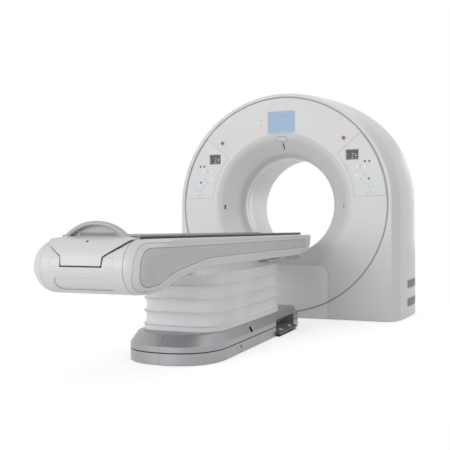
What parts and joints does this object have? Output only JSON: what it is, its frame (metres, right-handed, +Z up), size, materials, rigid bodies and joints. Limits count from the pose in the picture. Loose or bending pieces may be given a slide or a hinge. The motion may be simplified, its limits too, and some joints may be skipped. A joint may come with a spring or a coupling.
{
  "type": "ct scanner",
  "caption": "Ring-shaped computed tomography gantry with a rotor inside its covers, and a patient couch with a sliding table on a scissor lift.",
  "frame": {"origin": "on the floor, on the underside of the gantry's base plate, straight below the isocentre in the scan plane", "axes": "+Z up, +Y along the bore from the couch towards the rear of the gantry, +X to the right as seen from the couch's foot end"},
  "size_m": [2.28, 3.868, 2.13],
  "materials": {
    "frame_steel": "satin",
    "bearing_steel": "brushed",
    "dark_trim": "satin",
    "gantry_white": "satin",
    "warm_grey": "matte",
    "panel_grey": "satin",
    "window_film": "satin",
    "screen_glass": "gloss",
    "key_blue": "satin",
    "key_pale": "satin",
    "lamp_lens": "gloss",
    "laser_lens": "gloss",
    "stop_red": "gloss",
    "rotor_alloy": "machined",
    "tube_housing": "satin",
    "slip_track": "machined",
    "plinth_metal": "metallic",
    "bellows_fabric": "coated",
    "pedal_dark": "matte",
    "couch_alloy": "satin",
    "couch_grey": "satin",
    "inlay_grey": "matte",
    "rail_steel": "brushed",
    "table_shell": "satin",
    "tip_dark": "satin"
  },
  "bodies": {
    "gantry": {"gantry_base": "frame_steel", "stator_frame": "frame_steel", "bearing_outer_race": "bearing_steel", "brush_block": "dark_trim", "cover_brackets": "frame_steel", "front_surround": "gantry_white", "front_cover": "gantry_white", "trim_ring": "dark_trim", "service_panel": "warm_grey", "side_cover_right": "gantry_white", "side_cover_left": "gantry_white", "top_cover": "gantry_white", "vent_grilles": "panel_grey", "rear_cover": "gantry_white", "scan_window": "window_film", "rear_funnel": "gantry_white", "control_panels": "panel_grey", "panel_displays": "screen_glass", "blue_keys": "key_blue", "pale_keys": "key_pale", "display_bezel": "panel_grey", "display_screen": "screen_glass", "status_lights": "lamp_lens", "breathing_guide": "laser_lens", "laser_windows": "laser_lens", "stop_switches": "key_pale", "couch_base_plate": "frame_steel", "plinth_skirt": "plinth_metal", "plinth_cover": "plinth_metal", "pedal_wells": "dark_trim", "bellows": "bellows_fabric", "lift_base_mounts": "frame_steel", "lift_drive": "frame_steel"},
    "rotor": {"bearing_inner_race": "bearing_steel", "rotor_drum": "rotor_alloy", "xray_tube": "tube_housing", "beam_collimator": "frame_steel", "detector_arc": "tube_housing", "rotor_cabinets": "tube_housing", "slip_ring": "slip_track"},
    "stop_right": {"stop_button_right": "stop_red"},
    "stop_left": {"stop_button_left": "stop_red"},
    "outer_arms": {"scissor_arms_outer": "frame_steel"},
    "inner_arms": {"scissor_arms_inner": "frame_steel"},
    "couch": {"lift_top_mounts": "frame_steel", "under_plate": "couch_alloy", "couch_beam": "couch_alloy", "couch_sides": "couch_grey", "side_inlays": "inlay_grey", "end_cap": "couch_grey", "accessory_rails": "rail_steel"},
    "table": {"tabletop": "table_shell", "head_extension": "tip_dark", "table_carriage": "couch_alloy", "foot_cover": "couch_grey", "arch_handle": "panel_grey"},
    "pedal_up_right": {"pedal_up_right": "pedal_dark"},
    "pedal_down_right": {"pedal_down_right": "pedal_dark"},
    "pedal_up_left": {"pedal_up_left": "pedal_dark"},
    "pedal_down_left": {"pedal_down_left": "pedal_dark"}
  },
  "joints": [
    {"name": "rotor_spin", "type": "hinge", "parent": "gantry", "child": "rotor", "pos_m": [0, 0, 1.046], "axis": [0, 1, 0], "continuous": true},
    {"name": "lift", "type": "hinge", "parent": "gantry", "child": "outer_arms", "pos_m": [0, -2.28, 0.095], "axis": [1, 0, 0], "range_deg": [-13.8, 6.8], "deforming": ["bellows"]},
    {"name": "scissor_cross", "type": "hinge", "parent": "outer_arms", "child": "inner_arms", "pos_m": [0, -1.78293, 0.306], "axis": [1, 0, 0], "range_deg": [-13.6, 27.6]},
    {"name": "couch_level", "type": "hinge", "parent": "inner_arms", "child": "couch", "pos_m": [0, -2.28, 0.517], "axis": [1, 0, 0], "range_deg": [-13.8, 6.8]},
    {"name": "table_slide", "type": "slide", "parent": "couch", "child": "table", "axis": [0, 1, 0], "range_m": [0, 1.78]},
    {"name": "stop_press_right", "type": "slide", "parent": "gantry", "child": "stop_right", "axis": [0, 1, 0], "range_m": [0, 0.005], "stiffness_N_per_m": 1500, "springref_m": -0.002},
    {"name": "stop_press_left", "type": "slide", "parent": "gantry", "child": "stop_left", "axis": [0, 1, 0], "range_m": [0, 0.005], "stiffness_N_per_m": 1500, "springref_m": -0.002},
    {"name": "pedal_up_press_right", "type": "hinge", "parent": "gantry", "child": "pedal_up_right", "pos_m": [0.24, -1.04, 0.046], "axis": [0, 1, 0], "range_deg": [0, 3.5], "stiffness_Nm_per_rad": 60, "springref_deg": -171.89},
    {"name": "pedal_down_press_right", "type": "hinge", "parent": "gantry", "child": "pedal_down_right", "pos_m": [0.24, -1.246, 0.046], "axis": [0, 1, 0], "range_deg": [0, 3.5], "stiffness_Nm_per_rad": 60, "springref_deg": -171.89},
    {"name": "pedal_up_press_left", "type": "hinge", "parent": "gantry", "child": "pedal_up_left", "pos_m": [-0.24, -1.04, 0.046], "axis": [0, -1, 0], "range_deg": [0, 3.5], "stiffness_Nm_per_rad": 60, "springref_deg": -171.89},
    {"name": "pedal_down_press_left", "type": "hinge", "parent": "gantry", "child": "pedal_down_left", "pos_m": [-0.24, -1.246, 0.046], "axis": [0, -1, 0], "range_deg": [0, 3.5], "stiffness_Nm_per_rad": 60, "springref_deg": -171.89}
  ],
  "couplings": [
    {"joint": "scissor_cross", "follows": "lift", "ratio": -2},
    {"joint": "couch_level", "follows": "lift", "ratio": 1}
  ]
}
